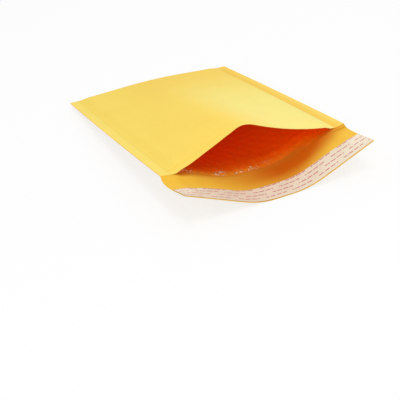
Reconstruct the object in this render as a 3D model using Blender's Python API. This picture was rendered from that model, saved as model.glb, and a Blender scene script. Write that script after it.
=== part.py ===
"""Padded mailing envelope, lying open on its back with the flap unfolded.

Units are metres, +Z is up. The closed fold is toward +Y, the mouth and flap toward -Y.
The envelope is one kraft sheet, folded once at the closed end and sealed down both long
sides over a pouch of bubble film. A glue band under a release liner runs along the flap.
"""
import math

import bmesh
import bpy
from mathutils import Vector

# Kraft sheet, as cut
WIDTH = 0.216             # side edge to side edge
LENGTH = 0.279            # closed fold to mouth
FLAP_LENGTH = 0.052       # mouth to the free edge of the flap
PAPER = 0.0003            # sheet thickness
SEAM_WIDTH = 0.011        # pressed band down each long side

# Bubble lining
FILM = 0.0002             # thickness of one film
BUBBLE_HEIGHT = 0.0030    # bubble over its film, away from the seams
BUBBLE_PITCH = 0.0135     # bubble to bubble across the envelope
CRUSH_WIDTH = 0.014       # band beside a seam where the bubbles are pressed flatter
POCKET_SLIT = 0.0006      # space between the two walls at the closed fold
LINING_SETBACK = 0.009    # lining stops this far inside the mouth
FILM_TRIM = 0.0010        # welded film ends this far inside the paper's side edge

# Glue band and release liner on the flap
LINER_WIDTH = 0.025       # across the flap's length
LINER_PAPER = 0.0002      # liner thickness
LINER_BORDER = 0.0022     # bare kraft between liner and free edge
LINER_END = 0.0008        # bare kraft at the liner's two ends
GLUE_MARGIN = 0.0025      # liner past the glue on all sides
GLUE_THICKNESS = 0.0002

CLEARANCE = 0.0003        # between pieces that touch

# Shape of the open mouth, in cross-section. Shares are of half the panel's width.
FRONT_RISE = 0.0249       # arch of the front panel over the seams
FRONT_CROWN_SHIFT = -0.0135   # crown of that arch, left of the middle
FRONT_CROWN = 0.15        # share taken by the rounded crown
FRONT_FOOT = 0.39         # share taken by the hollow curve beside the seam
BACK_FLAT = 0.13          # share of the back panel that lies flat on the table
BACK_CROWN = 0.38
BACK_FOOT = 0.27
FOLD_SWELL = 0.0050       # swell of the front panel over the closed fold
FLAP_LIFT = 0.0302        # corners of the flap's free edge over the table
FLAP_FLAT = 0.08
FLAP_CROWN = 0.35
FLAP_SLACK = 0.0029       # dip of the flap's side edges just past the seams

# Fineness of the meshes
PANEL_ROWS = 8            # kraft rows on each panel
FLAP_ROWS = 7
FOLD_ROWS = 6             # rows round the closed fold
STRIP_ROWS = 3            # rows on the glue band and the liner
LINING_BACKING_STEP = 6   # bubble rows spanned by one face on the lining's smooth side

HALF_WIDTH = WIDTH / 2
HALF_PANEL = HALF_WIDTH - SEAM_WIDTH
SEAM_HALF = CLEARANCE + FILM            # middle of the welded film to the paper
FULL_PAD = BUBBLE_HEIGHT + POCKET_SLIT / 2
BACK_HALF = SEAM_HALF + FULL_PAD        # plane of the seams to the back panel
FOLD_RADIUS = BACK_HALF + FOLD_SWELL / 2    # paper's turn at the middle of the closed fold
STEP = 1e-5                             # step for surface slopes
WELD_DISTANCE = 1e-6

BUBBLE_COLUMNS = max(2, round(2 * HALF_PANEL / BUBBLE_PITCH))
ROW_PITCH = BUBBLE_PITCH * math.sqrt(3) / 2
BUBBLE_ROWS = max(2, round((LENGTH - LINING_SETBACK) / ROW_PITCH))


def ease(t):
    """Smooth step from 0 to 1."""
    t = min(max(t, 0.0), 1.0)
    return t * t * (3 - 2 * t)


def arch(t, flat, crown, foot):
    """Height of a unit arch at t, from its middle (0) to its foot (1).

    The arch is level for the share flat, rounds over the share crown, runs straight,
    and rounds out to level again over the share foot.
    """
    t = min(max(t, 0.0), 1.0)
    slope = 1 / (1 - flat - crown / 2 - foot / 2)
    if t < flat:
        return 1.0
    if t < flat + crown:
        return 1 - slope * (t - flat) ** 2 / (2 * crown)
    if t < 1 - foot:
        return 1 - slope * (t - flat - crown / 2)
    return slope * (1 - t) ** 2 / (2 * foot)


def arch_take_up(flat, crown, foot):
    """Width that a unit arch over a unit half span draws in, by the square of its height."""
    slope = 1 / (1 - flat - crown / 2 - foot / 2)
    return slope ** 2 * (1 - flat - 2 * crown / 3 - 2 * foot / 3) / 2


FRONT_TAKE_UP = arch_take_up(0, FRONT_CROWN, FRONT_FOOT)
BACK_TAKE_UP = arch_take_up(BACK_FLAT, BACK_CROWN, BACK_FOOT)
# Both panels are equally wide, so the back sags until it draws in as much as the front.
BACK_SAG = FRONT_RISE * math.sqrt(FRONT_TAKE_UP / BACK_TAKE_UP)
TILT = math.asin(BACK_SAG / (LENGTH - math.pi / 2 * FOLD_RADIUS))
ALONG = Vector((0, -math.cos(TILT), math.sin(TILT)))    # down a seam, from fold to mouth
OUT = Vector((0, math.sin(TILT), math.cos(TILT)))       # square to the plane of the seams
TO_MOUTH = Vector((0, -1, 0))                           # along the table
FOLD_LINE = Vector((0, 0, PAPER + BACK_HALF * math.cos(TILT)))


def pad(across):
    """How far the lining holds the paper off the seam plane."""
    return FULL_PAD * ease((HALF_PANEL - abs(across)) / CRUSH_WIDTH)


def fold_swell(across):
    """How much farther the front panel stands off the seam plane at the closed fold."""
    share = min(abs(across) / HALF_PANEL, 1.0)
    return FOLD_SWELL * (1 - share ** 2) ** 2


def fold_turn(across):
    """Radius of the paper's turn at the closed fold, and its centre over the seam plane."""
    return SEAM_HALF + pad(across) + fold_swell(across) / 2, fold_swell(across) / 2


def front_arch(across):
    """Share of the front panel's rise, its crown set off the middle."""
    offset = across - FRONT_CROWN_SHIFT
    span = HALF_PANEL - FRONT_CROWN_SHIFT if offset > 0 else HALF_PANEL + FRONT_CROWN_SHIFT
    return arch(abs(offset) / span, 0, FRONT_CROWN, FRONT_FOOT)


def back_arch(across):
    """Share of the back panel's sag."""
    return arch(abs(across) / HALF_PANEL, BACK_FLAT, BACK_CROWN, BACK_FOOT)


def sideways(across, opening):
    """Place across the envelope, drawn in as the panels open. The seams keep their width."""
    draw_in = FRONT_TAKE_UP * (opening * FRONT_RISE) ** 2 / HALF_PANEL ** 2
    panel = min(abs(across), HALF_PANEL)
    return math.copysign(panel * (1 - draw_in) + abs(across) - panel, across)


def panel_point(side, across, opening):
    """Inner face of a panel. side is 1 for the front, -1 for the back; opening 0 to 1."""
    at_fold = fold_swell(across) if side > 0 else 0.0
    at_mouth = FRONT_RISE * front_arch(across) if side > 0 else BACK_SAG * back_arch(across)
    radius, _centre = fold_turn(across)
    start = math.pi / 2 * radius            # paper that goes round the fold
    reach = math.sqrt((LENGTH - start) ** 2 - (at_mouth - at_fold) ** 2)
    height = at_fold + opening * (at_mouth - at_fold)
    point = FOLD_LINE + TO_MOUTH * start + ALONG * opening * reach
    point += OUT * side * (SEAM_HALF + pad(across) + height)
    point.x = sideways(across, opening)
    return point


def flap_point(across, share):
    """Upper face of the flap, from the mouth (share 0) to its free edge (1)."""
    root = panel_point(-1, across, 1)
    take_up = arch_take_up(FLAP_FLAT, FLAP_CROWN, 0.0)
    edge_x = across * (1 - take_up * (FLAP_LIFT / HALF_WIDTH) ** 2)
    sag = arch(abs(across) / HALF_WIDTH, FLAP_FLAT, FLAP_CROWN, 1e-9)
    edge_z = PAPER + FLAP_LIFT * (1 - sag)
    reach = math.sqrt(FLAP_LENGTH ** 2 - (edge_x - root.x) ** 2 - (edge_z - root.z) ** 2)
    point = root.lerp(Vector((edge_x, root.y - reach, edge_z)), share)
    side_share = max(0.0, abs(across) - HALF_PANEL / 2) / (HALF_WIDTH - HALF_PANEL / 2)
    point.z -= FLAP_SLACK * side_share ** 2 * math.sin(math.pi * math.sqrt(max(share, 0.0)))
    return point


def slope_normal(point_at, across, share):
    """Upward normal of a surface given by across and share, from its slopes."""
    low = max(share - STEP, 0.0)
    high = min(share + STEP, 1.0)
    side = point_at(across + STEP, share) - point_at(across - STEP, share)
    run = point_at(across, high) - point_at(across, low)
    return run.cross(side).normalized()


def formed(across, row, depth):
    """Point of the folded sheet at a depth inward of the paper's inner face.

    row is a part of the sheet with a place on it: front and back take the opening,
    0 at the fold to 1 at the mouth; fold takes an angle; flap takes its share.
    """
    part, place = row
    if part == "fold":
        radius, over_seams = fold_turn(across)
        centre = FOLD_LINE + TO_MOUTH * (math.pi / 2 * radius) + OUT * over_seams
        centre.x = sideways(across, 0)
        return centre + (OUT * math.cos(place) - ALONG * math.sin(place)) * (radius - depth)
    if part == "flap":
        return flap_point(across, place) + slope_normal(flap_point, across, place) * depth
    side = 1 if part == "front" else -1

    def panel(panel_across, opening):
        return panel_point(side, panel_across, opening)
    return panel(across, place) - slope_normal(panel, across, place) * side * depth


def spread(first, last, count):
    """Evenly spaced values, both ends included."""
    return [first + (last - first) * i / count for i in range(count + 1)]


def across_stations(edge):
    """Places across the sheet: a seam, the panel at half a bubble pitch, a seam."""
    return [-edge] + spread(-HALF_PANEL, HALF_PANEL, 2 * BUBBLE_COLUMNS) + [edge]


def pocket_rows(opening, count):
    """Rows from the front mouth, round the closed fold, to the back mouth."""
    front = [("front", v) for v in spread(opening, 0, count)]
    fold = [("fold", angle) for angle in spread(0, math.pi, FOLD_ROWS)[1:-1]]
    back = [("back", v) for v in spread(0, opening, count)]
    return front + fold + back


def flat_slab(columns, rows):
    """Flat sheet two vertices thick. Each vertex holds its column, row and side."""
    bm = bmesh.new()
    last_column = len(columns) - 1
    last_row = len(rows) - 1
    bmesh.ops.create_grid(bm, x_segments=last_column, y_segments=last_row, size=1)
    column = bm.verts.layers.int.new("column")
    row = bm.verts.layers.int.new("row")
    inner = bm.verts.layers.int.new("inner")
    for vert in bm.verts:
        vert[column] = round((vert.co.x + 1) / 2 * last_column)
        vert[row] = round((vert.co.y + 1) / 2 * last_row)
    grown = bmesh.ops.extrude_face_region(bm, geom=bm.faces[:])
    for item in grown["geom"]:
        if isinstance(item, bmesh.types.BMVert):
            item[inner] = 1
            item.co.z += 1
    return bm, column, row, inner


def form_sheet(bm, layers, columns, rows, depth_at):
    """Fold the slab: each vertex goes to its place at the depth given for it."""
    column, row, inner = layers
    for vert in bm.verts:
        depth = depth_at(vert[column], vert[row], vert[inner])
        vert.co = formed(columns[vert[column]], rows[vert[row]], depth)
    bmesh.ops.remove_doubles(bm, verts=bm.verts[:], dist=WELD_DISTANCE)
    bmesh.ops.triangulate(bm, faces=bm.faces[:], quad_method="BEAUTY", ngon_method="BEAUTY")
    bmesh.ops.recalc_face_normals(bm, faces=bm.faces[:])


def plain_depths(outer, inner_depth):
    """Depths of a sheet of even thickness."""
    def depth_at(_column, _row, is_inner):
        return inner_depth if is_inner else outer
    return depth_at


def make_object(name, bm, colour, roughness):
    """Object with its mesh and its own material."""
    mesh = bpy.data.meshes.new(name)
    bm.to_mesh(mesh)
    bm.free()
    mesh.shade_smooth()
    mesh.set_sharp_from_angle(angle=math.radians(40))
    material = bpy.data.materials.new(name)
    material.use_nodes = True
    shader = material.node_tree.nodes["Principled BSDF"]
    shader.inputs["Base Color"].default_value = (*colour, 1)
    shader.inputs["Roughness"].default_value = roughness
    shader.inputs["Metallic"].default_value = 0
    mesh.materials.append(material)
    item = bpy.data.objects.new(name, mesh)
    bpy.context.scene.collection.objects.link(item)
    return item


def kraft_envelope():
    """The one folded kraft sheet: front panel, closed fold, back panel and flap."""
    columns = across_stations(HALF_WIDTH)
    rows = pocket_rows(1, PANEL_ROWS)
    rows += [("flap", share) for share in spread(0, 1, FLAP_ROWS)[1:]]
    bm, *layers = flat_slab(columns, rows)
    form_sheet(bm, layers, columns, rows, plain_depths(-PAPER, 0))
    return make_object("kraft_envelope", bm, (0.91, 0.58, 0.10), 0.75)


def thin_backing(bm, layers, rows):
    """Join the lining's smooth-side faces along the envelope, several rows to a face."""
    _column, row, inner = layers
    spare = []
    for edge in bm.edges:
        first, second = edge.verts
        across_edge = first[row] == second[row]
        smooth_side = not first[inner] and not second[inner]
        on_panel = rows[first[row]][0] != "fold" and 0 < first[row] < len(rows) - 1
        from_mouth = min(first[row], len(rows) - 1 - first[row])
        if across_edge and smooth_side and on_panel and from_mouth % LINING_BACKING_STEP:
            spare.append(edge)
    bmesh.ops.dissolve_edges(bm, edges=spare, use_verts=True)


def bubble_lining():
    """Pouch of bubble film, bubbles inward, its sides welded flat in the seams."""
    columns = across_stations(HALF_WIDTH - FILM_TRIM)
    rows = pocket_rows(1 - LINING_SETBACK / LENGTH, 2 * BUBBLE_ROWS)
    bm, *layers = flat_slab(columns, rows)
    column, row, inner = layers
    last_column = len(columns) - 1

    def in_seam(face):
        places = [vert[column] for vert in face.verts]
        return max(places) <= 1 or min(places) >= last_column - 1
    welded = [f for f in bm.faces if all(v[inner] for v in f.verts) and in_seam(f)]
    bmesh.ops.delete(bm, geom=welded, context="FACES")
    thin_backing(bm, layers, rows)

    def depth_at(col, row_index, is_inner):
        if not is_inner:
            return CLEARANCE
        part, _place = rows[row_index]
        height = BUBBLE_HEIGHT * ease((HALF_PANEL - abs(columns[col])) / CRUSH_WIDTH)
        if part == "fold":
            return CLEARANCE + FILM + height
        from_mouth = row_index if part == "front" else len(rows) - 1 - row_index
        staggered = (from_mouth // 2) % 2
        is_bubble = from_mouth % 2 == 1 and (col + staggered) % 2 == 1
        return CLEARANCE + FILM + (height if is_bubble else 0)
    form_sheet(bm, layers, columns, rows, depth_at)
    return make_object("bubble_lining", bm, (0.80, 0.42, 0.08), 0.25)


def flap_strip(name, margin, depth, thickness, colour, roughness):
    """Strip along the flap's free edge, margin inside the liner's outline."""
    edge = HALF_WIDTH - LINER_END - margin
    inside = [a for a in across_stations(HALF_WIDTH)[1:-1] if abs(a) < edge - margin]
    columns = [-edge] + inside + [edge]
    outer_share = 1 - (LINER_BORDER + margin) / FLAP_LENGTH
    inner_share = 1 - (LINER_BORDER + LINER_WIDTH - margin) / FLAP_LENGTH
    rows = [("flap", share) for share in spread(inner_share, outer_share, STRIP_ROWS)]
    bm, *layers = flat_slab(columns, rows)
    form_sheet(bm, layers, columns, rows, plain_depths(depth, depth + thickness))
    return make_object(name, bm, colour, roughness)


def centre_on_floor(items, guide):
    """Move all pieces so that the guide's box is centred on the origin in X and Y."""
    corners = [vert.co for vert in guide.data.vertices]
    middle_x = (min(c.x for c in corners) + max(c.x for c in corners)) / 2
    middle_y = (min(c.y for c in corners) + max(c.y for c in corners)) / 2
    for item in items:
        for vert in item.data.vertices:
            vert.co -= Vector((middle_x, middle_y, 0))


def main():
    for item in list(bpy.data.objects):
        bpy.data.objects.remove(item, do_unlink=True)
    envelope = kraft_envelope()
    lining = bubble_lining()
    glue = flap_strip("adhesive_strip", GLUE_MARGIN, CLEARANCE, GLUE_THICKNESS,
                      (0.80, 0.72, 0.45), 0.30)
    liner = flap_strip("release_liner", 0.0, 2 * CLEARANCE + GLUE_THICKNESS, LINER_PAPER,
                       (0.80, 0.75, 0.66), 0.45)
    centre_on_floor([envelope, lining, glue, liner], envelope)


main()
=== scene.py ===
"""Looks of the padded envelope: golden kraft paper over a pouch of clear bubble film.

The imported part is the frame. Each piece is cut flat, as the real one is, formed over the
part by one set of rules, and dressed with procedural materials. Units are metres, +Z is up,
the mouth and flap are toward -Y and the closed fold toward +Y.
"""
import logging
import math
from collections.abc import Callable
from dataclasses import dataclass, field
from enum import Enum
from functools import lru_cache

import bmesh
import bpy
from mathutils import Matrix, Vector, noise


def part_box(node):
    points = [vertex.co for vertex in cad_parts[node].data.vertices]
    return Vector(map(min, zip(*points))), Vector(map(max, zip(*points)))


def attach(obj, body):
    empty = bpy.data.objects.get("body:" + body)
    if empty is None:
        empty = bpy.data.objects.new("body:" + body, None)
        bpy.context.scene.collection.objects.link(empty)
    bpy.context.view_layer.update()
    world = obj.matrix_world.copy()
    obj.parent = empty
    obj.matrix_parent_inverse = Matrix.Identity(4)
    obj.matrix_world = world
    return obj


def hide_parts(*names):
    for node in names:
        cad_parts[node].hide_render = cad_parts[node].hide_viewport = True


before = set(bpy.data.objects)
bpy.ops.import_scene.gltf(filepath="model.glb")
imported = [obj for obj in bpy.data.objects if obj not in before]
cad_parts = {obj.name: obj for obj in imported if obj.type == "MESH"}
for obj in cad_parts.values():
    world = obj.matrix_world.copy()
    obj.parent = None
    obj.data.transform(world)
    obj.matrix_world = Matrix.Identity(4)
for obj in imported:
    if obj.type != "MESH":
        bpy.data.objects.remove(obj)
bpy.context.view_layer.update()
LOG = logging.getLogger("padded_envelope")

Colour = tuple[float, float, float]
Place = tuple[float, float, float]
Span = tuple[float, float]
Layers = dict[str, bmesh.types.BMLayerItem]


def linear(red: int, green: int, blue: int) -> Colour:
    """Linear colour of three screen values from 0 to 255."""
    shares = (red / 255, green / 255, blue / 255)
    return tuple(s / 12.92 if s < 0.04045 else ((s + 0.055) / 1.055) ** 2.4 for s in shares)


def ease(t: float) -> float:
    """Smooth step from 0 to 1."""
    t = min(max(t, 0.0), 1.0)
    return t * t * (3 - 2 * t)


def spread(first: float, last: float, count: int) -> list[float]:
    """Evenly spaced values, both ends included."""
    return [first + (last - first) * i / count for i in range(count + 1)]


@dataclass(frozen=True)
class Arch:
    """One side of a unit arch, from its middle down to its foot.

    Attributes:
        flat: share of the span that is level.
        crown: share over which it rounds.
        foot: share over which it rounds out again.
        end_slope: share of the full slope that is left at the foot.
    """

    flat: float
    crown: float
    foot: float
    end_slope: float = 0.0

    @property
    def slope(self) -> float:
        """Full slope, between crown and foot."""
        return 1 / (1 - self.flat - self.crown / 2 - self.foot * (1 - self.end_slope) / 2)

    def height(self, t: float) -> float:
        """Height from 0 to 1.

        Args:
            t: place from the arch's middle (0) to its foot (1).

        Returns:
            The height there.
        """
        t = min(max(t, 0.0), 1.0)
        if t < self.flat:
            return 1.0
        if t < self.flat + self.crown:
            return 1 - self.slope * (t - self.flat) ** 2 / (2 * self.crown)
        if t <= 1 - self.foot:
            return 1 - self.slope * (t - self.flat - self.crown / 2)
        left = 1 - t
        return self.slope * left * (self.end_slope
                                    + (1 - self.end_slope) * left / (2 * self.foot))

    def take_up(self) -> float:
        """Width that it draws in over a unit span.

        Returns:
            The share, for a rise of one span.
        """
        straight = 1 - self.flat - self.crown - self.foot
        at_foot = self.foot * (1 + self.end_slope + self.end_slope ** 2) / 3
        return self.slope ** 2 * (self.crown / 3 + straight + at_foot) / 2


class Part(Enum):
    """Stretch of the folded sheet that a row lies on."""

    FRONT = "front"
    FOLD = "fold"
    BACK = "back"
    FLAP = "flap"


@dataclass(frozen=True)
class Row:
    """One row across the sheet: its stretch, and its place on that stretch."""

    part: Part
    place: float


SheetField = Callable[[float, Row, bool], float]


@dataclass(frozen=True)
class EnvelopeForm:
    """Sizes of the envelope as cut, and the shape it takes lying open on its back."""

    width: float = 0.216
    length: float = 0.279
    flap_length: float = 0.052
    paper: float = 0.0003
    seam_width: float = 0.011
    seam_half: float = 0.0003
    bubble_height: float = 0.0030
    pocket_slit: float = 0.0006
    crush_width: float = 0.014
    lining_setback: float = 0.009
    front_rise: float = 0.0266
    front_crown_shift: float = -0.0132
    front_left: Arch = Arch(0.0, 0.10, 0.29)
    front_right: Arch = Arch(0.0, 0.115, 0.85, 0.28)
    back: Arch = Arch(0.13, 0.38, 0.27)
    seam_dip: float = 0.0017
    fold_swell: float = 0.0050
    flap_lift: float = 0.0302
    flap: Arch = Arch(0.08, 0.35, 0.0)
    flap_slack: float = 0.0029
    left_curl: float = 0.0013
    left_slack: float = 0.0029
    lip_drop: float = 0.0014
    lip_length: float = 0.007
    seam_press: float = 0.85
    press_start: float = 0.004
    press_width: float = 0.003
    step: float = 1e-5

    @property
    def half_width(self) -> float:
        """Middle to side edge."""
        return self.width / 2

    @property
    def half_panel(self) -> float:
        """Middle to the seam."""
        return self.half_width - self.seam_width

    @property
    def full_pad(self) -> float:
        """How far the lining holds each panel off the seam plane."""
        return self.bubble_height + self.pocket_slit / 2

    @property
    def front_take_up(self) -> float:
        """Share of width that the front arch draws in."""
        return (self.front_left.take_up() + self.front_right.take_up()) / 2

    @property
    def back_sag(self) -> float:
        """Sag of the back panel that draws in as much width as the front arch does."""
        return self.front_rise * math.sqrt(self.front_take_up / self.back.take_up())

    @property
    def tilt(self) -> float:
        """Slope of the seams over the table."""
        turn = self.seam_half + self.full_pad + self.fold_swell / 2
        return math.asin(self.back_sag / (self.length - math.pi / 2 * turn))

    @property
    def along(self) -> Vector:
        """Down a seam, from fold to mouth."""
        return Vector((0, -math.cos(self.tilt), math.sin(self.tilt)))

    @property
    def out(self) -> Vector:
        """Square to the plane of the seams."""
        return Vector((0, math.sin(self.tilt), math.cos(self.tilt)))

    @property
    def fold_line(self) -> Vector:
        """Nose of the closed fold."""
        lift = self.paper + (self.seam_half + self.full_pad) * math.cos(self.tilt)
        return Vector((0, 0, lift))

    def swelling(self, across: float) -> float:
        """Share of full padding, 0 at a seam and 1 on the panel."""
        return ease((self.half_panel - abs(across)) / self.crush_width)

    def swell_at_fold(self, across: float) -> float:
        """How much farther the front panel stands off at the closed fold."""
        share = min(abs(across) / self.half_panel, 1.0)
        return self.fold_swell * (1 - share ** 2) ** 2

    def fold_radius(self, across: float) -> float:
        """Radius of the paper's turn at the closed fold."""
        pad = self.full_pad * self.swelling(across)
        return self.seam_half + pad + self.swell_at_fold(across) / 2

    def front_arch(self, across: float) -> float:
        """Share of the front panel's rise, its crown set off the middle.

        Args:
            across: place across the sheet.

        Returns:
            0 at a seam to 1 at the crown.
        """
        offset = across - self.front_crown_shift
        if offset > 0:
            return self.front_right.height(offset / (self.half_panel - self.front_crown_shift))
        return self.front_left.height(-offset / (self.half_panel + self.front_crown_shift))

    def back_arch(self, across: float) -> float:
        """Share of the back panel's sag."""
        return self.back.height(abs(across) / self.half_panel)

    def dip(self, across: float) -> float:
        """How far the seam's inner line lies under its outer edge at the mouth."""
        over_seam = (abs(across) - self.half_panel) / self.seam_width
        return self.seam_dip * (1 - ease(over_seam))

    def mouth_height(self, part: Part, across: float) -> float:
        """Distance of a panel from the plane of the seams at the mouth.

        Args:
            part: FRONT or BACK.
            across: place across the sheet.

        Returns:
            The distance.
        """
        if part is Part.FRONT:
            share = self.front_arch(across)
            return self.front_rise * share - self.dip(across) * (1 - share)
        share = self.back_arch(across)
        return self.back_sag * share + self.dip(across) * (1 - share)

    def lip(self, opening: float) -> float:
        """Share by which the front panel has dropped past the end of the lining."""
        past = (opening - 1) * self.length + self.lining_setback
        return ease(past / self.lip_length + 0.5)

    def seam_gap(self, across: float, opening: float) -> float:
        """Half the gap between the panels, pressed shut past the film's ends.

        Args:
            across: place across the sheet.
            opening: 0 at the fold to 1 at the mouth.

        Returns:
            Distance from the seam plane.
        """
        past_film = (abs(across) - self.half_panel - self.press_start) / self.press_width
        pressed = max(ease(past_film), self.lip(opening))
        return self.seam_half * (1 - self.seam_press * pressed)

    def sideways(self, across: float, opening: float) -> float:
        """Place across the envelope, drawn in as the panels open.

        Args:
            across: place across the sheet.
            opening: 0 at the fold to 1 at the mouth.

        Returns:
            The place in space along X.
        """
        draw_in = self.front_take_up * (opening * self.front_rise) ** 2 / self.half_panel ** 2
        panel = min(abs(across), self.half_panel)
        return math.copysign(panel * (1 - draw_in) + abs(across) - panel, across)

    def panel_point(self, part: Part, across: float, opening: float) -> Vector:
        """Inner face of a panel.

        Args:
            part: FRONT or BACK.
            across: place across the sheet.
            opening: 0 at the fold to 1 at the mouth.

        Returns:
            The point in space.
        """
        front = part is Part.FRONT
        at_fold = self.swell_at_fold(across) if front else 0.0
        at_mouth = self.mouth_height(part, across)
        start = math.pi / 2 * self.fold_radius(across)
        reach = math.sqrt((self.length - start) ** 2 - (at_mouth - at_fold) ** 2)
        height = at_fold + opening * (at_mouth - at_fold)
        pad = self.full_pad * self.swelling(across)
        if front:
            pad -= min(pad, self.lip_drop) * self.lip(opening)
        point = self.fold_line + Vector((0, -start, 0)) + self.along * opening * reach
        point += self.out * (1 if front else -1) * (self.seam_gap(across, opening) + pad + height)
        point.x = self.sideways(across, opening)
        return point

    def flap_point(self, across: float, share: float) -> Vector:
        """Upper face of the flap.

        Args:
            across: place across the sheet.
            share: 0 at the mouth to 1 at the free edge.

        Returns:
            The point in space.
        """
        root = self.panel_point(Part.BACK, across, 1)
        lift = self.flap_lift + (self.left_curl if across < 0 else 0.0)
        slack = self.flap_slack + (self.left_slack if across < 0 else 0.0)
        draw_in = self.flap.take_up() * (lift / self.half_width) ** 2
        edge_x = across * (1 - draw_in)
        sag = self.flap.height(abs(across) / self.half_width)
        edge_z = self.paper + lift * (1 - sag)
        reach = math.sqrt(self.flap_length ** 2 - (edge_x - root.x) ** 2
                          - (edge_z - root.z) ** 2)
        point = root.lerp(Vector((edge_x, root.y - reach, edge_z)), share)
        beside = max(0.0, abs(across) - self.half_panel / 2)
        side_share = beside / (self.half_width - self.half_panel / 2)
        dip = math.sin(math.pi * math.sqrt(max(share, 0.0)))
        point.z -= slack * side_share ** 2 * dip
        return point

    def sheet_point(self, part: Part, across: float, place: float) -> Vector:
        """Inner face of a panel, or upper face of the flap.

        Args:
            part: FRONT, BACK or FLAP.
            across: place across the sheet.
            place: place along that stretch, 0 to 1.

        Returns:
            The point in space.
        """
        if part is Part.FLAP:
            return self.flap_point(across, place)
        return self.panel_point(part, across, place)

    @lru_cache(maxsize=None)
    def base(self, across: float, row: Row) -> tuple[Vector, Vector]:
        """Inner face of the paper and the direction into the envelope there.

        Args:
            across: place across the sheet.
            row: row of the sheet.

        Returns:
            The point and its inward direction.
        """
        if row.part is Part.FOLD:
            radius = self.fold_radius(across)
            centre = self.fold_line + Vector((0, -math.pi / 2 * radius, 0))
            centre += self.out * self.swell_at_fold(across) / 2
            centre.x = self.sideways(across, 0)
            outward = self.out * math.cos(row.place) - self.along * math.sin(row.place)
            return centre + outward * radius, -outward
        low = max(row.place - self.step, 0.0)
        high = min(row.place + self.step, 1.0)
        left = self.sheet_point(row.part, across - self.step, row.place)
        right = self.sheet_point(row.part, across + self.step, row.place)
        run = self.sheet_point(row.part, across, high) - self.sheet_point(row.part, across, low)
        upward = run.cross(right - left).normalized()
        inward = -upward if row.part is Part.FRONT else upward
        return self.sheet_point(row.part, across, row.place), inward

    def flat_along(self, row: Row) -> float:
        """Place of a row along the sheet as cut.

        Args:
            row: row of the sheet.

        Returns:
            Distance from the front mouth.
        """
        if row.part is Part.FRONT:
            return self.length * (1 - row.place)
        if row.part is Part.FOLD:
            return self.length
        if row.part is Part.BACK:
            return self.length * (1 + row.place)
        return 2 * self.length + self.flap_length * row.place


@dataclass(frozen=True)
class PaperTones:
    """Soft fields of painted shade and painted sheen over the sheet, kept as numbers that the
    materials read.
    """

    form: EnvelopeForm
    shade_left: float = -0.060
    shade_growth: float = 0.088
    shade_right: float = 0.088
    shade_fall: float = 0.060
    shade_slant: float = 2.0
    shade_at_lining: float = 0.76
    shade_gain: float = 0.20
    gain_width: float = 0.010
    shade_loss: float = 0.42
    loss_start: float = 0.018
    loss_width: float = 0.016
    pale_start: float = -0.030
    pale_width: float = 0.070
    pale_growth: float = 1.3

    def mouth_shade(self, across: float, row: Row, _inner: bool) -> float:
        """Share of the painted orange shade at the mouth, deepest right of the middle.

        Args:
            across: place across the sheet.
            row: row of the back panel or flap.

        Returns:
            0 for none to 1.
        """
        end_of_lining = 2 * self.form.length - self.form.lining_setback
        past = max(self.form.flat_along(row) - end_of_lining, 0.0)
        slanted = across + self.shade_slant * past
        from_left = ease((across - self.shade_left) / self.shade_growth)
        to_right = 1 - ease((slanted - self.shade_right) / self.shade_fall)
        outward = self.shade_at_lining + self.shade_gain * ease(past / self.gain_width)
        outward -= self.shade_loss * ease((past - self.loss_start) / self.loss_width)
        return from_left * to_right * outward

    def painted_flank_sheen(self, across: float, row: Row, _inner: bool) -> float:
        """Share of the painted sheen, a paler tone on the front panel right of its crown.

        Args:
            across: place across the sheet.
            row: row of the sheet.

        Returns:
            0 for none to 1.
        """
        if row.part is not Part.FRONT:
            return 0.0
        grown = ease((across - self.pale_start) / self.pale_width)
        return grown * ease(row.place * self.pale_growth)


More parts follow.
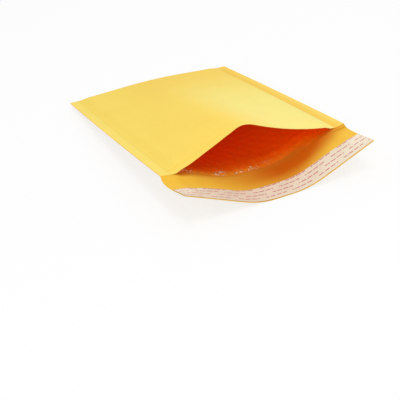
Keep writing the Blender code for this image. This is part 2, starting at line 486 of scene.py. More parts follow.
class Value:
    """Output of a shader node that takes part in Python arithmetic."""

    def __init__(self, graph: "ShaderGraph", socket: bpy.types.NodeSocket) -> None:
        """Wrap a socket of a graph."""
        self.graph = graph
        self.socket = socket

    def _maths(self, operation: str, *operands: "Value | float") -> "Value":
        """Add one Math node.

        Args:
            operation: the Math node's operation.
            operands: its inputs in order.

        Returns:
            The node's result.
        """
        inputs = dict(enumerate(operands))
        return self.graph.add("ShaderNodeMath", {"operation": operation}, inputs)

    def __add__(self, other: "Value | float") -> "Value":
        """Sum."""
        return self._maths("ADD", self, other)

    def __radd__(self, other: "Value | float") -> "Value":
        """Sum, number first."""
        return self._maths("ADD", other, self)

    def __sub__(self, other: "Value | float") -> "Value":
        """Difference."""
        return self._maths("SUBTRACT", self, other)

    def __rsub__(self, other: "Value | float") -> "Value":
        """Difference, number first."""
        return self._maths("SUBTRACT", other, self)

    def __mul__(self, other: "Value | float") -> "Value":
        """Product."""
        return self._maths("MULTIPLY", self, other)

    def __rmul__(self, other: "Value | float") -> "Value":
        """Product, number first."""
        return self._maths("MULTIPLY", other, self)

    def __truediv__(self, other: "Value | float") -> "Value":
        """Quotient."""
        return self._maths("DIVIDE", self, other)

    def __rtruediv__(self, other: "Value | float") -> "Value":
        """Quotient, number first."""
        return self._maths("DIVIDE", other, self)

    def __lt__(self, other: "Value | float") -> "Value":
        """1 where this is less."""
        return self._maths("LESS_THAN", self, other)

    def __gt__(self, other: "Value | float") -> "Value":
        """1 where this is more."""
        return self._maths("GREATER_THAN", self, other)

    def cosine(self) -> "Value":
        """Cosine of an angle in radians."""
        return self._maths("COSINE", self)

    def fraction(self) -> "Value":
        """Part after the decimal point."""
        return self._maths("FRACT", self)

    def floor(self) -> "Value":
        """Whole part."""
        return self._maths("FLOOR", self)

    def size(self) -> "Value":
        """Value without its sign."""
        return self._maths("ABSOLUTE", self)

    def between(self, low: float, high: float) -> "Value":
        """Smooth step.

        Args:
            low: where it leaves 0.
            high: where it reaches 1.

        Returns:
            The step.
        """
        settings = {"interpolation_type": "SMOOTHSTEP"}
        inputs = {"Value": self, "From Min": low, "From Max": high}
        return self.graph.add("ShaderNodeMapRange", settings, inputs)


class ShaderGraph:
    """Node tree of a material or of the world, filled by expressions."""

    def __init__(self, owner: bpy.types.Material | bpy.types.World,
                 output: str = "ShaderNodeOutputMaterial") -> None:
        """Clear the owner's node tree and add its output.

        Args:
            owner: the material or world.
            output: type of its output node.
        """
        self.owner = owner
        self.owner.use_nodes = True
        self.tree = owner.node_tree
        self.tree.nodes.clear()
        self.output = self.tree.nodes.new(output)

    @classmethod
    def of_material(cls, name: str) -> "ShaderGraph":
        """Graph of a new material."""
        return cls(bpy.data.materials.new(name))

    def add(self, kind: str, settings: dict | None = None,
            inputs: dict | None = None, output: int | str = 0) -> Value:
        """Add one node.

        Args:
            kind: type of the node.
            settings: properties set before its sockets.
            inputs: value or link for each socket, by name or number.
            output: which output to return.

        Returns:
            The chosen output.
        """
        node = self.tree.nodes.new(kind)
        for name, value in (settings or {}).items():
            setattr(node, name, value)
        for key, value in (inputs or {}).items():
            socket = node.inputs[key]
            if isinstance(value, Value):
                self.tree.links.new(value.socket, socket)
            elif isinstance(value, tuple) and socket.type == "RGBA":
                socket.default_value = (*value, 1.0)
            else:
                socket.default_value = value
        return Value(self, node.outputs[output])

    def attribute(self, name: str) -> Value:
        """Number that the mesh carries at each vertex."""
        return self.add("ShaderNodeAttribute", {"attribute_name": name}, output="Fac")

    def mix(self, factor: Value | float, first: Value | Colour,
            second: Value | Colour, blend: str = "MIX") -> Value:
        """Blend two colours.

        Args:
            factor: 0 for the first to 1 for the second.
            first: colour.
            second: colour.
            blend: how they blend.

        Returns:
            The blended colour.
        """
        settings = {"data_type": "RGBA", "blend_type": blend}
        return self.add("ShaderNodeMix", settings, {0: factor, 6: first, 7: second}, output=2)

    def stretched(self, place: Value, across: float, along: float) -> Value:
        """Place on the sheet, scaled across and along."""
        return self.add("ShaderNodeVectorMath", {"operation": "MULTIPLY"},
                        {0: place, 1: (across, along, 1.0)})

    def noise(self, place: Value, scale: float, detail: float, rough: float = 0.5) -> Value:
        """Cloudy pattern.

        Args:
            place: where to read it.
            scale: repeats in a metre.
            detail: layers of finer cloud.
            rough: strength of the finer layers.

        Returns:
            Values about 0.5.
        """
        inputs = {"Vector": place, "Scale": scale, "Detail": detail, "Roughness": rough}
        return self.add("ShaderNodeTexNoise", {}, inputs)

    def bump(self, height: Value, distance: float) -> Value:
        """Surface relief from a height of 0 to 1 that stands for a distance in metres."""
        inputs = {"Height": height, "Distance": distance}
        return self.add("ShaderNodeBump", {}, inputs)

    def let_through(self, surface: Value, share: Value | float, tint: Colour) -> Value:
        """Let part of the light pass through a thin wall and spread behind it.

        Args:
            surface: the wall's own surface.
            share: share of light that passes.
            tint: its colour after the wall.

        Returns:
            The mixed surface.
        """
        passed = self.add("ShaderNodeBsdfTranslucent", {}, {"Color": tint})
        return self.add("ShaderNodeMixShader", {}, {0: share, 1: surface, 2: passed})

    def finish(self, surface: Value) -> bpy.types.Material | bpy.types.World:
        """Connect the surface and return the owner."""
        self.tree.links.new(surface.socket, self.output.inputs["Surface"])
        return self.owner


@dataclass(frozen=True)
class SheetPlace:
    """Place on the sheet as cut, in metres, as a material reads it.

    Attributes:
        flat: the place as a vector.
        across: place to the right of the middle.
        along: place from the front mouth, or from the strip's own edge.
    """

    flat: Value
    across: Value
    along: Value

    @classmethod
    def read(cls, graph: ShaderGraph, middle: float) -> "SheetPlace":
        """Read the sheet's flat map.

        Args:
            graph: the material's graph.
            middle: how far the sheet's middle lies from its left edge.

        Returns:
            The place.
        """
        flat = graph.add("ShaderNodeUVMap", {"uv_map": "flat"})
        from_left = graph.add("ShaderNodeSeparateXYZ", {}, {0: flat}, output="X")
        along = graph.add("ShaderNodeSeparateXYZ", {}, {0: flat}, output="Y")
        return cls(flat, from_left - middle, along)


@dataclass(frozen=True)
class KraftPaper:
    """Golden kraft, smoother and paler outside than inside, with painted shade deepening the
    right seam.
    """

    form: EnvelopeForm
    outside: Colour = linear(254, 227, 106)
    inside: Colour = linear(241, 196, 66)
    # painted shade: orange-brown painted on the inner face at the mouth, following the shade
    # attribute
    mouth: Colour = (0.60, 0.100, 0.0)
    # painted light: brighter red-orange at the pocket's right end by the seam, lifting its shadow
    painted_corner_glow: Colour = (0.99, 0.210, 0.0)
    # painted sheen: paler tone where light falls on the right flank, also used on the left seam
    pale: Colour = linear(251, 241, 139)
    # painted shade: deeper tone for the right seam band and a patch toward the rear of the front
    # panel
    seam: Colour = linear(251, 212, 88)
    fibre: Colour = (0.88, 0.76, 0.58)
    # painted shade: darkening along the seam creases and the lining's end on the front panel
    crease: Colour = (0.90, 0.84, 0.72)
    # painted shade along the flap's fold
    flap_fold_shade: Colour = (0.82, 0.68, 0.40)
    rear_along: Span = (0.10, 0.27)
    rear_across: Span = (-0.09, 0.0)
    rear_share: float = 0.5
    corner_across: Span = (0.045, 0.080)
    corner_past: Span = (0.001, 0.008)
    left_seam_start: Span = (-0.001, 0.002)
    left_seam_share: float = 0.25
    right_seam_start: Span = (-0.0018, -0.0008)
    right_seam_half: Span = (0.004, 0.007)
    right_seam_loss: float = 0.30
    crease_width: float = 0.0009
    crease_share: float = 0.8
    lining_end_blur: Span = (0.0, 0.0035)
    lining_end_fade: Span = (-0.060, 0.010)
    lining_end_share: float = 0.45
    flap_crease_past: float = 0.0034
    flap_crease_blur: Span = (0.0003, 0.0016)
    flap_crease_start: Span = (-0.010, 0.0)
    bubble_across: float = 0.01386
    bubble_along: float = 0.0120
    relief_height: float = 0.00028
    passed_share: float = 0.15
    passed_tint: Colour = (1.0, 0.72, 0.25)

    def material(self) -> bpy.types.Material:
        """Dress the kraft sheet.

        Returns:
            Its material.
        """
        graph = ShaderGraph.of_material("golden_kraft")
        place = SheetPlace.read(graph, self.form.half_width)
        inner = graph.attribute("inner")
        hidden = graph.attribute("hidden")
        cloud = graph.noise(place.flat, 28.0, 3.0)
        fibres = graph.noise(graph.stretched(place.flat, 1.0, 0.16), 1500.0, 3.0, 0.6)
        flecks = graph.noise(graph.stretched(place.flat, 1.0, 0.3), 620.0, 2.0)
        crease = self.seam_crease(place)
        tone = self.painted(graph, place, inner)
        tone = graph.mix(cloud.between(0.4, 0.75) * 0.09, tone, self.fibre, "MULTIPLY")
        tone = graph.mix(fibres.between(0.52, 0.72) * 0.22, tone, self.fibre, "MULTIPLY")
        tone = graph.mix(flecks.between(0.66, 0.74) * 0.4, tone, self.fibre, "MULTIPLY")
        # painted shade in the creases
        tone = self.paint_crease_shade(graph, place, tone, 1 - inner)
        dimple = ((place.across * (2 * math.pi / self.bubble_across)).cosine()
                  * (place.along * (math.pi / self.bubble_along)).cosine())
        relief = fibres * 0.35 + cloud * 0.5 - crease * 0.4
        relief = relief + dimple * graph.attribute("swell") * 0.16
        surface = graph.add("ShaderNodeBsdfPrincipled", {}, {
            "Base Color": tone,
            "Roughness": 0.56 + 0.16 * fibres,
            "Normal": graph.bump(relief, self.relief_height),
            "Specular IOR Level": 0.08,
        })
        share = self.passed_share + hidden * (1 - self.passed_share)
        return graph.finish(graph.let_through(surface, share, self.passed_tint))

    def painted(self, graph: ShaderGraph, place: SheetPlace, inner: Value) -> Value:
        """Fields of colour of both faces, with painted shade and painted light over them.

        Args:
            graph: the material's graph.
            place: place on the sheet.
            inner: 1 on the inner face.

        Returns:
            The colour before fibres and creases.
        """
        outer = 1 - inner
        on_front = place.along < self.form.length
        past_right = place.across - self.form.half_panel
        past_left = 0 - place.across - self.form.half_panel
        past_lining = place.along - (2 * self.form.length - self.form.lining_setback)
        tone = graph.mix(inner, self.outside, self.inside)
        # painted shade: darker patch toward the rear left of the front panel
        rear = place.along.between(*self.rear_along) * place.across.between(*self.rear_across)
        tone = graph.mix(rear * on_front * self.rear_share, tone, self.seam)
        # painted shade at the mouth
        tone = graph.mix(graph.attribute("shade") * inner, tone, self.mouth)
        # painted light: brighter red-orange near the lining's end at the right
        painted_corner_glow = place.across.between(*self.corner_across)
        painted_corner_glow = painted_corner_glow * (1 - past_lining.between(*self.corner_past))
        tone = graph.mix(painted_corner_glow * inner, tone, self.painted_corner_glow)
        # painted sheen on the front panel's right flank
        tone = graph.mix(graph.attribute("pale") * outer, tone, self.pale)
        # painted light: the left seam band a little paler
        left_seam = past_left.between(*self.left_seam_start) * on_front * outer
        tone = graph.mix(left_seam * self.left_seam_share, tone, self.pale)
        # painted shade: the right seam band deeper, its outer half less so
        right_seam = past_right.between(*self.right_seam_start) * on_front * outer
        loss = self.right_seam_loss * past_right.between(*self.right_seam_half)
        return graph.mix(right_seam * (1 - loss), tone, self.seam)

    def seam_crease(self, place: SheetPlace) -> Value:
        """Thin crease along both inner lines of the side seams, on the front panel, for its bump
        and its painted shade.

        Args:
            place: place on the sheet.

        Returns:
            1 on the line, 0 beside it.
        """
        from_seam = (place.across.size() - self.form.half_panel).size()
        on_front = place.along < self.form.length
        return (1 - from_seam.between(0.0, self.crease_width)) * on_front

    def paint_crease_shade(self, graph: ShaderGraph, place: SheetPlace, tone: Value,
                outer: Value) -> Value:
        """Paint shade into the creases.

        Args:
            graph: the material's graph.
            place: place on the sheet.
            tone: colour so far.
            outer: 1 on the outer face.

        Returns:
            The colour with painted shade along the seam lines, the lining's end and the flap's
            crease.
        """
        past_seam = place.across - self.form.half_panel
        from_end = (place.along - self.form.lining_setback).size()
        lining_end = 1 - from_end.between(*self.lining_end_blur)
        lining_end = lining_end * (1 - place.across.between(*self.lining_end_fade))
        from_fold = (place.along - 2 * self.form.length - self.flap_crease_past).size()
        on_fold = 1 - from_fold.between(*self.flap_crease_blur)
        on_fold = on_fold * past_seam.between(*self.flap_crease_start)
        seam_share = self.seam_crease(place) * outer * self.crease_share
        tone = graph.mix(seam_share, tone, self.crease, "MULTIPLY")
        end_share = lining_end * outer * self.lining_end_share
        tone = graph.mix(end_share, tone, self.crease, "MULTIPLY")
        return graph.mix(on_fold, tone, self.flap_fold_shade, "MULTIPLY")


@dataclass(frozen=True)
class BubbleFilm:
    """Clear film over the kraft's inner face, glossy, with a painted deep orange glow inside the
    pocket and painted glints near its end.
    """

    form: EnvelopeForm
    golden: Colour = (0.88, 0.50, 0.040)
    # painted shade: the film's end turns orange where the shade attribute is high, as the kraft
    # does
    orange: Colour = (0.72, 0.120, 0.0)
    painted_corner_glow: Colour = (0.99, 0.210, 0.0)
    # painted glow: red-orange just inside the film's end, brighter to the right
    painted_ember: Colour = (0.76, 0.110, 0.002)
    ember_right: Colour = (0.99, 0.150, 0.0005)
    # painted glow: deep red in place of light that bounces about and passes into the pocket
    deep: Colour = (0.92, 0.108, 0.003)
    deep_right: Colour = (0.99, 0.175, 0.001)
    # painted glow on the front wall's underside, in place of light through the paper
    roof: Colour = (0.97, 0.26, 0.010)
    # painted glints: pale colour for the film's wrinkle highlights
    painted_glint: Colour = (0.98, 0.84, 0.50)
    corner_across: Span = (0.045, 0.080)
    ember_across: Span = (0.0, 0.055)
    ember_depth: Span = (-0.002, 0.014)
    deep_across: Span = (-0.03, 0.06)
    deep_depth: Span = (0.010, 0.045)
    edge_depth: Span = (0.0, 0.016)
    edge_fade: Span = (-0.01, 0.04)
    lines_start: Span = (0.0004, 0.0025)
    lines_stop: Span = (0.008, 0.013)
    lines_fade: Span = (-0.02, 0.03)
    relief_height: float = 0.0006
    roof_passes: float = 0.85
    passed_tint: Colour = (1.0, 0.60, 0.15)

    def material(self) -> bpy.types.Material:
        """Dress the bubble pouch.

        Returns:
            Its material.
        """
        graph = ShaderGraph.of_material("bubble_film")
        place = SheetPlace.read(graph, self.form.half_width)
        roof = graph.attribute("roof")
        depth = graph.attribute("depth")
        hidden = graph.attribute("hidden")
        cloud = graph.noise(place.flat, 60.0, 3.0)
        streaks = graph.noise(graph.stretched(place.flat, 1.0, 0.12), 220.0, 3.0, 0.55)
        creases = graph.noise(graph.stretched(place.flat, 1.0, 0.55), 420.0, 4.0, 0.62)
        edge = 1 - depth.between(*self.edge_depth)
        edge = edge * (1 - place.across.between(*self.edge_fade))
        lines = self.crinkle_lines(graph, place, depth)
        tone = self.painted_pocket_glow(graph, place, depth)
        tone = graph.mix(streaks.between(0.5, 0.8) * 0.15, tone, self.golden)
        # painted glow on the front wall's underside
        tone = graph.mix(roof, tone, self.roof)
        # painted glints along the wrinkles near the film's end
        tone = graph.mix(lines, tone, self.painted_glint)
        relief = streaks * 0.3 + creases * edge * 0.5 + lines
        surface = graph.add("ShaderNodeBsdfPrincipled", {}, {
            "Base Color": tone,
            "Roughness": 0.34 + 0.12 * cloud - 0.20 * edge,
            "Normal": graph.bump(relief, self.relief_height),
            "Specular IOR Level": 0.3,
            "Coat Weight": edge,
            "Coat Roughness": 0.06,
        })
        share = hidden + roof * (1 - hidden) * self.roof_passes
        return graph.finish(graph.let_through(surface, share, self.passed_tint))

    def painted_pocket_glow(self, graph: ShaderGraph, place: SheetPlace, depth: Value) -> Value:
        """Painted light and shade of the lower wall, from its golden end to the red glow painted
        deep in the pocket.

        Args:
            graph: the material's graph.
            place: place on the sheet.
            depth: distance inside the lining's end.

        Returns:
            The colour.
        """
        # painted shade at the film's end, the same as on the kraft
        end = graph.mix(graph.attribute("shade"), self.golden, self.orange)
        # painted light: brighter red-orange at the film's right end
        end = graph.mix(place.across.between(*self.corner_across), end, self.painted_corner_glow)
        right_share = place.across.between(*self.ember_across)
        painted_ember = graph.mix(right_share, self.painted_ember, self.ember_right)
        deep = graph.mix(place.across.between(*self.deep_across), self.deep, self.deep_right)
        tone = graph.mix(depth.between(*self.ember_depth), end, painted_ember)
        return graph.mix(depth.between(*self.deep_depth), tone, deep)

    def crinkle_lines(self, graph: ShaderGraph, place: SheetPlace, depth: Value) -> Value:
        """Painted glints: pale wrinkle lines in patches beside the lining's end, left and middle.

        Args:
            graph: the material's graph.
            place: place on the sheet.
            depth: distance inside the lining's end.

        Returns:
            Share of the painted glint colour.
        """
        folds = graph.noise(graph.stretched(place.flat, 1.0, 1.3), 130.0, 3.0, 0.6)
        patches = graph.noise(place.flat, 62.0, 1.0).between(0.41, 0.52)
        near_end = depth.between(*self.lines_start) * (1 - depth.between(*self.lines_stop))
        ridge = 1 - (folds - 0.5).size().between(0.0, 0.040)
        lines = (ridge * patches * near_end).between(0.15, 0.6)
        return lines * (1 - place.across.between(*self.lines_fade))


@dataclass(frozen=True)
class ReleasePaper:
    """Coated off-white liner with four rows of plain faint red dashes."""

    paper: Colour = linear(231, 217, 193)
    shade: Colour = linear(221, 205, 178)
    dash: Colour = linear(190, 80, 92)
    row_pitch: float = 0.0062
    row_start: float = 0.0004
    row_height: float = 0.0015
    run_length: float = 0.031
    run_step: float = 0.37
    run_share: float = 0.78
    dash_length: float = 0.0072
    dash_step: float = 0.61
    dash_share: float = 0.82
    dash_strength: float = 0.85

    def material(self) -> bpy.types.Material:
        """Dress the release liner.

        Returns:
            Its material.
        """
        graph = ShaderGraph.of_material("release_paper")
        place = SheetPlace.read(graph, 0.0)
        row = (place.along - self.row_start) / self.row_pitch
        number = row.floor()
        in_row = row.fraction() < self.row_height / self.row_pitch
        run = (place.across / self.run_length + number * self.run_step).fraction()
        word = (place.across / self.dash_length + number * self.dash_step).fraction()
        wobble = graph.noise(place.flat, 260.0, 1.0)
        dash = in_row * (run < self.run_share) * (word < self.dash_share)
        dash = dash * (0.45 + 0.8 * wobble) * self.dash_strength
        cloud = graph.noise(place.flat, 45.0, 3.0)
        tone = graph.mix(cloud.between(0.35, 0.75) * 0.6, self.paper, self.shade)
        surface = graph.add("ShaderNodeBsdfPrincipled", {}, {
            "Base Color": graph.mix(dash, tone, self.dash),
            "Roughness": 0.34 + 0.12 * cloud,
            "Normal": graph.bump(cloud, 0.0004),
            "Specular IOR Level": 0.5,
        })
        return graph.finish(surface)


@dataclass(frozen=True)
class TackyGlue:
    """Clear hot-melt band, slightly yellow."""

    clear: Colour = linear(236, 206, 120)
    thick: Colour = linear(224, 186, 92)

    def material(self) -> bpy.types.Material:
        """Dress the glue band.

        Returns:
            Its material.
        """
        graph = ShaderGraph.of_material("tacky_glue")
        place = SheetPlace.read(graph, 0.0)
        streaks = graph.noise(graph.stretched(place.flat, 0.2, 1.0), 700.0, 2.0)
        surface = graph.add("ShaderNodeBsdfPrincipled", {}, {
            "Base Color": graph.mix(streaks, self.clear, self.thick),
            "Roughness": 0.12 + 0.2 * streaks,
            "Normal": graph.bump(streaks, 0.0002),
        })
        return graph.finish(surface)


@dataclass
class FlatSheet:
    """Sheet cut flat, two faces thick, ready to be formed."""

    form: EnvelopeForm
    columns: list[float]
    rows: list[Row]
    bm: bmesh.types.BMesh = field(default_factory=bmesh.new)
    layers: Layers = field(default_factory=dict)
    weld: float = 1e-6
    sharp_angle: float = 50.0

    def cut(self) -> None:
        """Make the slab from one grid and mark each vertex with its column, row and face."""
        last_column = len(self.columns) - 1
        last_row = len(self.rows) - 1
        bmesh.ops.create_grid(self.bm, x_segments=last_column, y_segments=last_row, size=1)
        for name in ("column", "row", "inner"):
            self.layers[name] = self.bm.verts.layers.int.new(name)
        for vert in self.bm.verts:
            vert[self.layers["column"]] = round((vert.co.x + 1) / 2 * last_column)
            vert[self.layers["row"]] = round((vert.co.y + 1) / 2 * last_row)
        grown = bmesh.ops.extrude_face_region(self.bm, geom=self.bm.faces[:])
        for item in grown["geom"]:
            if isinstance(item, bmesh.types.BMVert):
                item[self.layers["inner"]] = 1
                item.co.z += 1

    def read(self, vert: bmesh.types.BMVert) -> tuple[float, Row, bool]:
        """Where on the sheet a vertex lies.

        Args:
            vert: a vertex of the slab.

        Returns:
            Its place across, its row, and whether it is on the inner face.
        """
        across = self.columns[vert[self.layers["column"]]]
        row = self.rows[vert[self.layers["row"]]]
        return across, row, bool(vert[self.layers["inner"]])

    def drop_inner(self, beyond: float) -> None:
        """Remove inner faces at the sides so that both outer faces weld into one there.

        Args:
            beyond: distance from the middle past which they go.
        """
        spare = []
        for face in self.bm.faces:
            spots = [self.read(vert) for vert in face.verts]
            nearest = min(abs(across) for across, _row, _inner in spots)
            if nearest > beyond - self.form.step and all(inner for _x, _row, inner in spots):
                spare.append(face)
        bmesh.ops.delete(self.bm, geom=spare, context="FACES")

    def shape(self, depth_at: SheetField) -> None:
        """Form the slab over the envelope.

        Args:
            depth_at: depth inward of the paper's inner face.
        """
        for vert in self.bm.verts:
            across, row, inner = self.read(vert)
            point, inward = self.form.base(across, row)
            vert.co = point + inward * depth_at(across, row, inner)

    def lay_flat_map(self, start: float) -> None:
        """Write the place on the sheet as cut, in metres, to a UV map.

        Args:
            start: place along the sheet that becomes 0.
        """
        flat = self.bm.loops.layers.uv.new("flat")
        for face in self.bm.faces:
            for loop in face.loops:
                across, row, _inner = self.read(loop.vert)
                along = self.form.flat_along(row) - start
                loop[flat].uv = (across + self.form.half_width, along)

    def number(self, name: str, value_at: SheetField) -> None:
        """Give each vertex a number that the materials read.

        Args:
            name: the attribute's name.
            value_at: its value at a vertex.
        """
        layer = self.bm.verts.layers.float.new(name)
        for vert in self.bm.verts:
            vert[layer] = value_at(*self.read(vert))

    def close(self) -> None:
        """Merge what meets and turn all faces outward."""
        bmesh.ops.remove_doubles(self.bm, verts=self.bm.verts[:], dist=self.weld)
        bmesh.ops.recalc_face_normals(self.bm, faces=self.bm.faces[:])

    def to_object(self, name: str, material: bpy.types.Material) -> bpy.types.Object:
        """Turn the mesh into a shown object.

        Args:
            name: the piece's name.
            material: its finish.

        Returns:
            The object, at the origin.
        """
        for layer_name in ("column", "row"):
            self.bm.verts.layers.int.remove(self.bm.verts.layers.int[layer_name])
        mesh = bpy.data.meshes.new(name)
        self.bm.to_mesh(mesh)
        self.bm.free()
        mesh.shade_smooth()
        mesh.set_sharp_from_angle(angle=math.radians(self.sharp_angle))
        mesh.materials.append(material)
        item = bpy.data.objects.new(name, mesh)
        bpy.context.scene.collection.objects.link(item)
        return item


@dataclass
class PaperSheet:
    """The one folded kraft sheet: front panel, closed fold, back panel and flap."""

    form: EnvelopeForm
    panel_columns: int = 92
    seam_columns: int = 4
    panel_rows: int = 50
    mouth_rows: int = 20
    mouth_stretch: float = 0.024
    fold_rows: int = 10
    flap_rows: int = 20

    def columns(self) -> list[float]:
        """Places across the sheet, closer in the seams.

        Returns:
            The places from left to right.
        """
        half_panel = self.form.half_panel
        left = spread(-self.form.half_width, -half_panel, self.seam_columns)
        right = spread(half_panel, self.form.half_width, self.seam_columns)
        return left[:-1] + spread(-half_panel, half_panel, self.panel_columns) + right[1:]

    def rows(self) -> list[Row]:
        """Rows along the sheet, closer at both mouth edges.

        Returns:
            The rows from the front mouth to the flap's free edge.
        """
        near = 1 - self.mouth_stretch / self.form.length
        places = spread(0, near, self.panel_rows) + spread(near, 1, self.mouth_rows)[1:]
        rows = [Row(Part.FRONT, place) for place in reversed(places)]
        rows += [Row(Part.FOLD, turn) for turn in spread(0, math.pi, self.fold_rows)[1:-1]]
        rows += [Row(Part.BACK, place) for place in places]
        return rows + [Row(Part.FLAP, share) for share in spread(0, 1, self.flap_rows)[1:]]

    def depth_at(self, _across: float, _row: Row, inner: bool) -> float:
        """Depth of a face of the paper under its inner face."""
        return 0.0 if inner else -self.form.paper

    def bubbled(self, across: float, row: Row, _inner: bool) -> float:
        """Share of the lining's bubbles that shows through the paper.

        Args:
            across: place across the sheet.
            row: row of the sheet.

        Returns:
            0 for none to 1.
        """
        if row.part is Part.FLAP:
            return 0.0
        if row.part is Part.FOLD:
            return self.form.swelling(across)
        return self.form.swelling(across) * (1 - self.form.lip(row.place))

    def lined(self, _across: float, row: Row, inner: bool) -> float:
        """1 on the inner face where the lining covers it.

        Args:
            row: row of the sheet.
            inner: whether it is the inner face.

        Returns:
            0 or 1.
        """
        if row.part is Part.FLAP or not inner:
            return 0.0
        return float(row.part is Part.FOLD or self.form.lip(row.place) == 0)

    def build(self) -> bpy.types.Object:
        """Cut, fold and dress the sheet.

        Returns:
            The shown piece, replacing the solid.
        """
        tones = PaperTones(self.form)
        sheet = FlatSheet(self.form, self.columns(), self.rows())
        sheet.cut()
        sheet.shape(self.depth_at)
        sheet.lay_flat_map(0.0)
        sheet.number("swell", self.bubbled)
        # painted shade at the mouth, for the kraft's colour
        sheet.number("shade", tones.mouth_shade)
        # painted sheen on the right flank
        sheet.number("pale", tones.painted_flank_sheen)
        sheet.number("hidden", self.lined)
        sheet.close()
        item = sheet.to_object("kraft_sheet", KraftPaper(self.form).material())
        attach(item, "root")
        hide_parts("kraft_envelope")
        return item


@dataclass
class BubblePouch:
    """Pouch of bubble film, bubbles inward, its sides welded flat in the seams."""

    form: EnvelopeForm
    clearance: float = 0.00005
    film: float = 0.00010
    film_trim: float = 0.0060
    bubble_radius: float = 0.0062
    bubble_relief: float = 0.0003
    bubbles_across: int = 14
    bubble_rows: int = 23
    cells_across: int = 12
    cells_along: int = 5
    rim_length: float = 0.024
    rim_rows: int = 26
    rim_rise: float = 0.0200
    rim_sway: float = 0.0060
    rim_wrinkle: float = 0.0006
    fold_rows: int = 8
    fold_depth: float = 0.27
    front_wrinkles: float = 3.0
    back_wrinkles: float = 0.0
    dome_fullness: float = 1.4
    sway_across: float = 70.0
    wrinkle_across: float = 230.0
    wrinkle_along: float = 120.0
    wrinkle_sharpness: float = 3.0
    wrinkle_growth: float = 4.0

    @property
    def opening(self) -> float:
        """Share of the pocket's length that the lining reaches."""
        return 1 - self.form.lining_setback / self.form.length

    def from_end(self, row: Row) -> float:
        """How far inside the lining's mouth edge a row lies.

        Args:
            row: row of the film.

        Returns:
            The distance.
        """
        if row.part is Part.FOLD:
            return self.fold_depth
        return (self.opening - row.place) * self.form.length

    def dome(self, across: float, along: float) -> float:
        """Height share of the staggered bubbles.

        Args:
            across: place across the sheet from its middle.
            along: place along the wall from the lining's mouth edge.

        Returns:
            0 on the film to 1 on a bubble's top.
        """
        pitch = 2 * self.form.half_panel / self.bubbles_across
        row_pitch = (self.form.length - self.form.lining_setback) / self.bubble_rows
        row = math.floor(along / row_pitch)
        offset = pitch / 2 * (row % 2)
        from_centre = (across + offset + pitch / 2) % pitch - pitch / 2
        distance = math.hypot(from_centre, along - (row + 0.5) * row_pitch)
        return ease(self.dome_fullness * (1 - distance / self.bubble_radius))

    def rim(self, across: float, along: float, wall: float) -> tuple[float, float]:
        """Flattened, wrinkled end of the lining.

        Args:
            across: place across the sheet from its middle.
            along: place along the wall from the lining's mouth edge.
            wall: sets one wall's wrinkles apart from the other's.

        Returns:
            Share of the full padding there, and the height of a wrinkle.
        """
        sway = self.rim_sway * noise.noise(Vector((across * self.sway_across, wall, 0)))
        rise = ease(along / (self.rim_rise + sway))
        spot = Vector((across * self.wrinkle_across, along * self.wrinkle_along, wall))
        fold = max(0.0, 1 - abs(noise.noise(spot)) * self.wrinkle_sharpness)
        share = along / self.rim_length
        grown = ease(share * self.wrinkle_growth) * (1 - ease(share))
        return rise, self.rim_wrinkle * fold * grown

    def columns(self) -> list[float]:
        """Places across the film, one strip in each seam.

        Returns:
            The places from left to right.
        """
        edge = self.form.half_width - self.film_trim
        cells = self.bubbles_across * self.cells_across
        return [-edge] + spread(-self.form.half_panel, self.form.half_panel, cells) + [edge]

    def rows(self) -> list[Row]:
        """Rows along the film, closer at its mouth edges.

        Returns:
            The rows from the front wall's mouth edge to the back wall's.
        """
        near = self.opening - self.rim_length / self.form.length
        places = spread(0, near, self.bubble_rows * self.cells_along)
        places += spread(near, self.opening, self.rim_rows)[1:]
        rows = [Row(Part.FRONT, place) for place in reversed(places)]
        rows += [Row(Part.FOLD, turn) for turn in spread(0, math.pi, self.fold_rows)[1:-1]]
        return rows + [Row(Part.BACK, place) for place in places]

    def depth_at(self, across: float, row: Row, inner: bool) -> float:
        """Depth of a face of the film under the paper's inner face.

        Args:
            across: place across the sheet.
            row: row of the film.
            inner: whether it is the film's inner face.

        Returns:
            The depth.
        """
        if not inner:
            return self.clearance
        swell = self.form.swelling(across)
        base = self.clearance + self.film
        if row.part is Part.FOLD:
            return base + self.form.bubble_height * swell
        inside = self.from_end(row)
        wall = self.front_wrinkles if row.part is Part.FRONT else self.back_wrinkles
        rise, wrinkle = self.rim(across, inside, wall)
        relief = self.bubble_relief * (self.dome(across, inside) - 1)
        return base + ((self.form.bubble_height + relief) * rise + wrinkle) * swell

    def build(self) -> bpy.types.Object:
        """Form and dress the pouch.

        Returns:
            The shown piece, replacing the solid.
        """
        sheet = FlatSheet(self.form, self.columns(), self.rows())
        sheet.cut()
        sheet.drop_inner(self.form.half_panel)
        sheet.shape(self.depth_at)
        sheet.lay_flat_map(0.0)
        sheet.number("roof", lambda _across, row, _inner: float(row.part is Part.FRONT))
        sheet.number("depth", lambda _across, row, _inner: self.from_end(row))
        # painted shade at the film's end, matching the kraft
        sheet.number("shade", PaperTones(self.form).mouth_shade)
        sheet.number("hidden", lambda _across, _row, inner: float(not inner))
        sheet.close()
        item = sheet.to_object("bubble_pouch", BubbleFilm(self.form).material())
        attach(item, "root")
        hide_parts("bubble_lining")
        return item


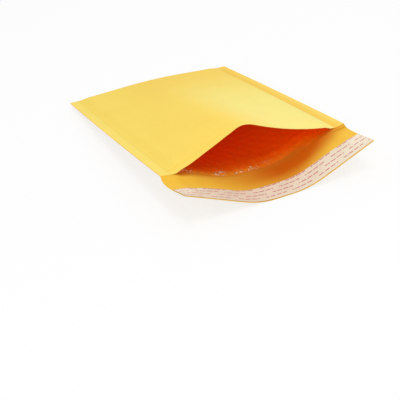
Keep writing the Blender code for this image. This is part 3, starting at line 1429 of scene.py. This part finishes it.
@dataclass
class FlapStrip:
    """Strip along the flap's free edge."""

    form: EnvelopeForm
    name: str
    node: str
    slot: str
    finish: ReleasePaper | TackyGlue
    margin: float
    depth: float
    thickness: float
    width: float = 0.025
    border: float = 0.0009
    end: float = 0.0008
    columns: int = 150
    rows: int = 10
    waviness: float = 0.0
    wave_across: float = 45.0
    wave_along: float = 1.2
    wave_seed: float = 8.0

    @property
    def edges(self) -> Span:
        """Inner and outer edge of the strip, as shares of the flap's length."""
        inner = 1 - (self.border + self.width - self.margin) / self.form.flap_length
        return inner, 1 - (self.border + self.margin) / self.form.flap_length

    def depth_at(self, across: float, row: Row, inner: bool) -> float:
        """Height of a face of the strip over the flap.

        Args:
            across: place across the sheet.
            row: row of the strip.
            inner: whether it is the upper face.

        Returns:
            The height.
        """
        first, last = self.edges
        share = (row.place - first) / (last - first)
        spot = Vector((across * self.wave_across, share * self.wave_along, self.wave_seed))
        lift = self.waviness * max(0.0, noise.noise(spot))
        return self.depth + lift + (self.thickness if inner else 0.0)

    def build(self) -> bpy.types.Object:
        """Form and dress the strip.

        Returns:
            The shown piece, replacing the solid.
        """
        edge = self.form.half_width - self.end - self.margin
        rows = [Row(Part.FLAP, share) for share in spread(*self.edges, self.rows)]
        sheet = FlatSheet(self.form, spread(-edge, edge, self.columns), rows)
        sheet.cut()
        sheet.shape(self.depth_at)
        sheet.lay_flat_map(self.form.flat_along(rows[0]))
        sheet.close()
        item = sheet.to_object(self.name, self.finish.material())
        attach(item, "root")
        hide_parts(self.node)
        return item


@dataclass(frozen=True)
class SoftLamp:
    """Square soft lamp aimed at the envelope, its power in watts."""

    name: str
    place: Place
    size: float
    power: float

    def hang(self) -> None:
        """Add the lamp to the scene."""
        lamp = bpy.data.lights.new(self.name, "AREA")
        lamp.shape = "SQUARE"
        lamp.size = self.size
        lamp.energy = self.power
        item = bpy.data.objects.new(self.name, lamp)
        item.location = self.place
        item.rotation_euler = (-Vector(self.place)).to_track_quat("-Z", "Y").to_euler()
        bpy.context.scene.collection.objects.link(item)


@dataclass
class Studio:
    """Pale floor, soft lamps and the camera at the photograph's view."""

    lamps: tuple[SoftLamp, ...] = (
        SoftLamp("key_lamp", (0.0, -0.35, 1.7), 0.8, 7.6),
        SoftLamp("back_lamp", (1.1, 1.4, 0.75), 0.8, 4.0),
        SoftLamp("glint_lamp", (0.15, -0.9, 1.35), 0.2, 2.0),
        SoftLamp("fill_lamp", (-0.7, -1.3, 0.42), 0.5, 2.6),
    )
    lens: float = 68.58
    sensor: float = 36.0
    camera_place: Place = (-0.32554, -0.70299, 0.36834)
    near_clip: float = 0.01
    pitch: float = 30.376
    heading: float = 23.8
    roll: float = -4.339
    world_level: float = 0.75
    floor_glow: float = 0.78
    pocket_bounces: int = 12
    floor_size: float = 30.0
    floor_colour: Colour = (0.86, 0.86, 0.86)
    white: Colour = (1.0, 1.0, 1.0)

    def build(self) -> None:
        """Add floor, world, lamps and camera."""
        self.lay_floor()
        self.light_world()
        for lamp in self.lamps:
            lamp.hang()
        self.place_camera()
        scene = bpy.context.scene
        scene.view_settings.view_transform = "Standard"
        scene.cycles.diffuse_bounces = self.pocket_bounces
        scene.cycles.max_bounces = 2 * self.pocket_bounces

    def lay_floor(self) -> None:
        """Large pale floor that looks white to the camera and keeps the shadow."""
        bm = bmesh.new()
        bmesh.ops.create_grid(bm, x_segments=1, y_segments=1, size=self.floor_size / 2)
        mesh = bpy.data.meshes.new("floor")
        bm.to_mesh(mesh)
        bm.free()
        graph = ShaderGraph.of_material("pale_floor")
        diffuse = graph.add("ShaderNodeBsdfDiffuse", {}, {"Color": self.floor_colour})
        glow = graph.add("ShaderNodeEmission", {}, {"Color": self.white, "Strength": 1.0})
        seen = graph.add("ShaderNodeLightPath", output="Is Camera Ray")
        inputs = {0: seen * self.floor_glow, 1: diffuse, 2: glow}
        mesh.materials.append(graph.finish(graph.add("ShaderNodeMixShader", {}, inputs)))
        floor = bpy.data.objects.new("floor", mesh)
        bpy.context.scene.collection.objects.link(floor)

    def light_world(self) -> None:
        """Even light from all round, plain white to the camera."""
        world = bpy.data.worlds.new("soft_room")
        bpy.context.scene.world = world
        graph = ShaderGraph(world, "ShaderNodeOutputWorld")
        room = {"Color": self.white, "Strength": self.world_level}
        backdrop = {"Color": self.white, "Strength": 1.0}
        seen = graph.add("ShaderNodeLightPath", output="Is Camera Ray")
        inputs = {0: seen, 1: graph.add("ShaderNodeBackground", {}, room),
                  2: graph.add("ShaderNodeBackground", {}, backdrop)}
        graph.finish(graph.add("ShaderNodeMixShader", {}, inputs))

    def place_camera(self) -> None:
        """Camera at the photograph's place, pitch, heading and roll."""
        data = bpy.data.cameras.new("photo_camera")
        data.lens = self.lens
        data.sensor_width = self.sensor
        data.clip_start = self.near_clip
        camera = bpy.data.objects.new("photo_camera", data)
        turn = (Matrix.Rotation(math.radians(-self.heading), 4, "Z")
                @ Matrix.Rotation(math.radians(90 - self.pitch), 4, "X")
                @ Matrix.Rotation(math.radians(self.roll), 4, "Z"))
        camera.matrix_world = Matrix.Translation(self.camera_place) @ turn
        bpy.context.scene.collection.objects.link(camera)
        bpy.context.scene.camera = camera


def centre_in_frame(pieces: list[bpy.types.Object]) -> None:
    """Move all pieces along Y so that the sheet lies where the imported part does.

    Args:
        pieces: the pieces, the kraft sheet first.
    """
    low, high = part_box("kraft_envelope")
    places = [vert.co.y for vert in pieces[0].data.vertices]
    shift = (low.y + high.y) / 2 - (min(places) + max(places)) / 2
    for piece in pieces:
        piece.data.transform(Matrix.Translation((0, shift, 0)))


def main() -> None:
    """Build every piece in order and report it."""
    logging.basicConfig(level=logging.INFO, format="%(message)s")
    form = EnvelopeForm()
    glue = FlapStrip(form, "glue_band", "adhesive_strip", "glue", TackyGlue(),
                     margin=0.0025, depth=0.0001, thickness=0.0001)
    liner = FlapStrip(form, "liner_strip", "release_liner", "liner", ReleasePaper(),
                      margin=0.0, depth=0.0003, thickness=0.0002, waviness=0.0003)
    pieces = []
    for maker in (PaperSheet(form), BubblePouch(form), glue, liner):
        piece = maker.build()
        LOG.info("%s: %d faces", piece.name, len(piece.data.polygons))
        pieces.append(piece)
    centre_in_frame(pieces)
    Studio().build()


if __name__ == "__main__":
    main()
